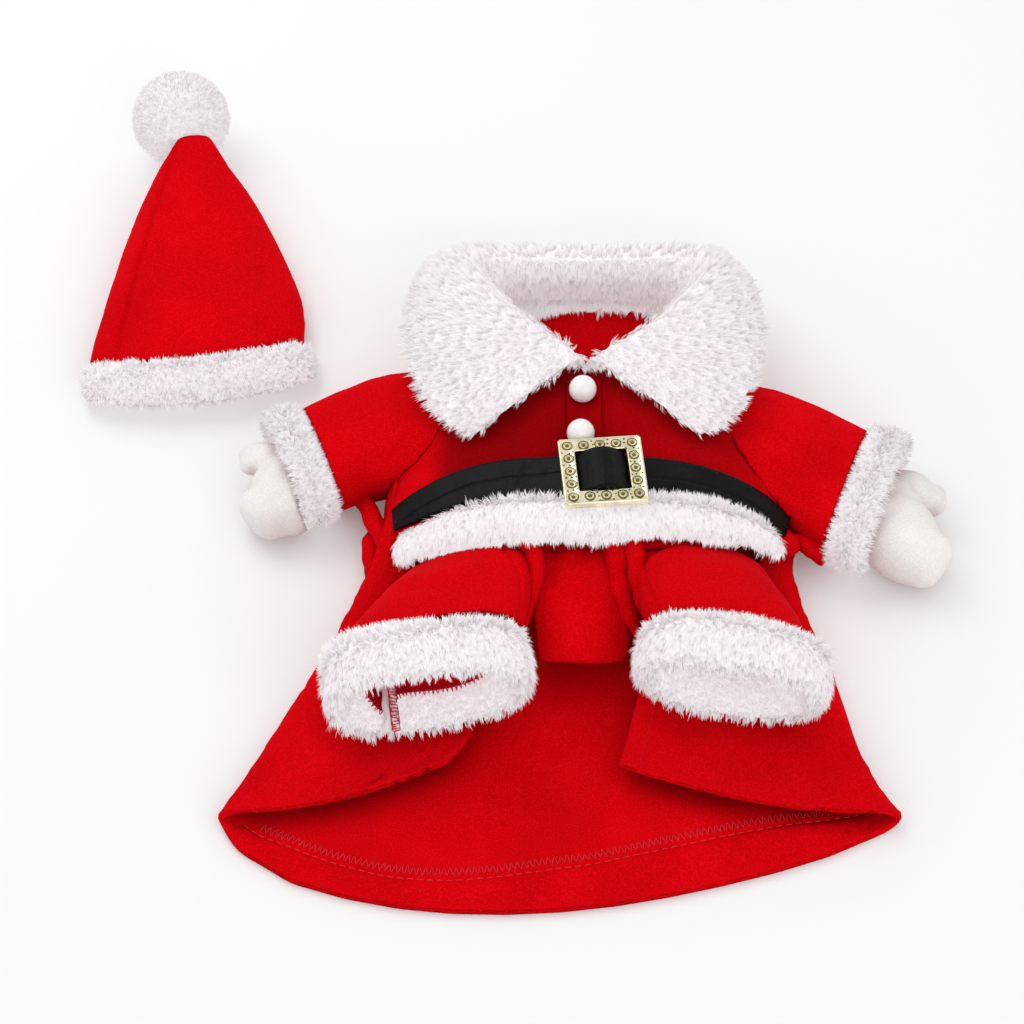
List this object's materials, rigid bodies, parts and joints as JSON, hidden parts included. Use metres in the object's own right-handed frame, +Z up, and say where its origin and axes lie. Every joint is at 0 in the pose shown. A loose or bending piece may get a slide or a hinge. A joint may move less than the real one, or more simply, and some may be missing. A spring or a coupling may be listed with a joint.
{
  "type": "dog santa suit",
  "caption": "Pet costume lying on its back: red felt coat with fur collar, stuffed arms, short open legs, a long round-hemmed skirt, a belt with a square buckle, and a separate pointed hat.",
  "frame": {"origin": "centre of the whole set's bounding box in X and Y, on the surface it lies on", "axes": "+X to the right of the picture, +Y from the skirt's hem towards the collar, +Z up from the surface"},
  "size_m": [0.3853, 0.4474, 0.0624],
  "materials": {
    "red_felt": "soft felted fleece",
    "white_fur": "long soft pile",
    "mitten_felt": "smooth felt",
    "black_leather": "smooth, light gloss",
    "gilt_plastic": "metallised gold",
    "button_plastic": "glossy"
  },
  "bodies": {
    "root": {"chest_front": "red_felt", "back_panel": "red_felt", "belly_panel": "red_felt", "leg_left": "red_felt", "leg_right": "red_felt", "sleeve_left": "red_felt", "sleeve_right": "red_felt", "placket": "red_felt", "hat_cone": "red_felt", "collar": "white_fur", "fur_band": "white_fur", "leg_cuff_left": "white_fur", "leg_cuff_right": "white_fur", "sleeve_cuff_left": "white_fur", "sleeve_cuff_right": "white_fur", "hat_brim": "white_fur", "pompom": "white_fur", "mitten_left": "mitten_felt", "mitten_right": "mitten_felt", "belt": "black_leather", "belt_loop": "black_leather", "buckle": "gilt_plastic", "button_upper": "button_plastic", "button_lower": "button_plastic"}
  },
  "joints": []
}
